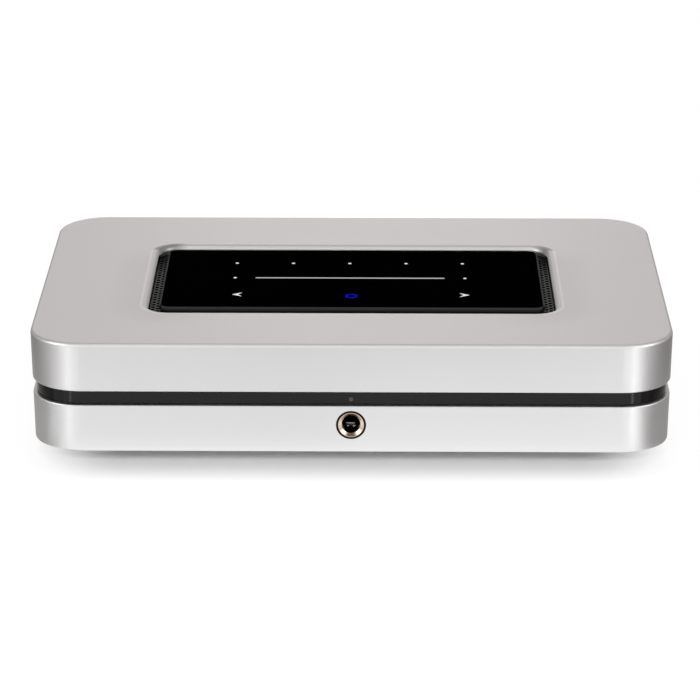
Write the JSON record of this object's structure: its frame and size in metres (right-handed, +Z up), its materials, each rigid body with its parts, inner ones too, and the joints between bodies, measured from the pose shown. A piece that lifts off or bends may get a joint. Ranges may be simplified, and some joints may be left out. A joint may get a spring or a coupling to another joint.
{
  "type": "network music streamer",
  "caption": "Low two-shell desktop audio streamer with a touch glass in its roof, perforated vents, a headphone socket in front and a rear connector bay.",
  "frame": {"origin": "centre of the footprint on the standing surface, feet at z = 0", "axes": "+X to the right seen from the front, +Y from the front to the connector side, +Z up"},
  "size_m": [0.22, 0.146, 0.044],
  "materials": {
    "shell_metal": "fine satin silver paint over cast metal",
    "band_plastic": "dark grey moulded plastic",
    "clear_window": "small smoked window",
    "touch_glass": "black printed glass with ground edge",
    "carrier_plastic": "black moulded plastic",
    "panel_steel": "black powder coat on steel sheet",
    "vent_metal": "dark painted perforated sheet",
    "bushing_metal": "polished rose-tinted plating",
    "connector_plastic": "black connector moulding",
    "contact_metal": "gold plated",
    "board_green": "solder resist on glass laminate",
    "board_brown": "power board laminate",
    "aerial_board": "copper strip on film",
    "cable_white": "flat cable",
    "cable_black": "thin round lead",
    "wire_red": "insulated wire",
    "light_white": "light package",
    "chip_black": "moulded package",
    "sink_metal": "plain extruded metal",
    "tin_plate": "tinned sheet",
    "can_blue": "sleeved capacitor can",
    "can_black": "sleeved capacitor can",
    "coil_core": "ferrite core with yellow tape",
    "coil_copper": "varnished winding",
    "sheet_film": "insulating film",
    "light_window": "clear light window",
    "tongue_white": "white moulding",
    "emitter_red": "clear red emitter",
    "barrel_plate": "nickel plated brass",
    "insert_red": "red moulding",
    "insert_orange": "orange moulding",
    "foot_rubber": "soft black rubber",
    "screw_steel": "plated steel"
  },
  "bodies": {
    "chassis": {"bottom_shell": "shell_metal", "top_shell": "shell_metal", "mid_frame": "band_plastic", "status_window": "clear_window", "touch_glass": "touch_glass", "touch_carrier": "carrier_plastic", "touch_board": "board_green", "touch_cable": "cable_white", "vent_strip_left": "vent_metal", "vent_strip_right": "vent_metal", "headphone_bushing": "bushing_metal", "headphone_body": "connector_plastic", "headphone_springs": "contact_metal", "front_board": "board_green", "status_light": "light_white", "front_cable": "cable_white", "main_board": "board_green", "processor": "chip_black", "heat_sink": "sink_metal", "wireless_module": "tin_plate", "audio_capacitors": "can_blue", "aerial_side": "aerial_board", "aerial_front": "aerial_board", "aerial_leads": "cable_black", "power_board": "board_brown", "transformer": "coil_core", "mains_choke": "coil_copper", "main_capacitor": "can_black", "output_capacitors": "can_blue", "heat_plate": "sink_metal", "insulating_sheet": "sheet_film", "power_harness": "wire_red", "mains_plate": "carrier_plastic", "data_plate": "panel_steel", "audio_plate": "panel_steel", "bay_frame": "carrier_plastic", "mains_inlet": "connector_plastic", "mains_pins": "tin_plate", "network_socket": "tin_plate", "network_contacts": "contact_metal", "network_lights": "light_window", "usb_shell": "tin_plate", "usb_tongue": "tongue_white", "hdmi_shell": "tin_plate", "hdmi_tongue": "connector_plastic", "optical_housing": "connector_plastic", "optical_emitter": "emitter_red", "phono_barrels": "barrel_plate", "phono_inserts_white": "tongue_white", "phono_insert_red": "insert_red", "phono_insert_orange": "insert_orange", "phono_contacts": "contact_metal", "phono_block": "connector_plastic", "mini_jacks": "connector_plastic", "rubber_feet": "foot_rubber", "case_screws": "screw_steel", "board_screws": "screw_steel", "carrier_screws": "screw_steel", "panel_screw": "screw_steel"},
    "shutter": {"optical_shutter": "connector_plastic"}
  },
  "joints": [
    {"name": "shutter_swing", "type": "hinge", "parent": "chassis", "child": "shutter", "pos_m": [0.05139, 0.06345, 0.02205], "axis": [-1, 0, 0], "range_deg": [0, 88], "stiffness_Nm_per_rad": 0.00003, "springref_deg": -20.05}
  ]
}
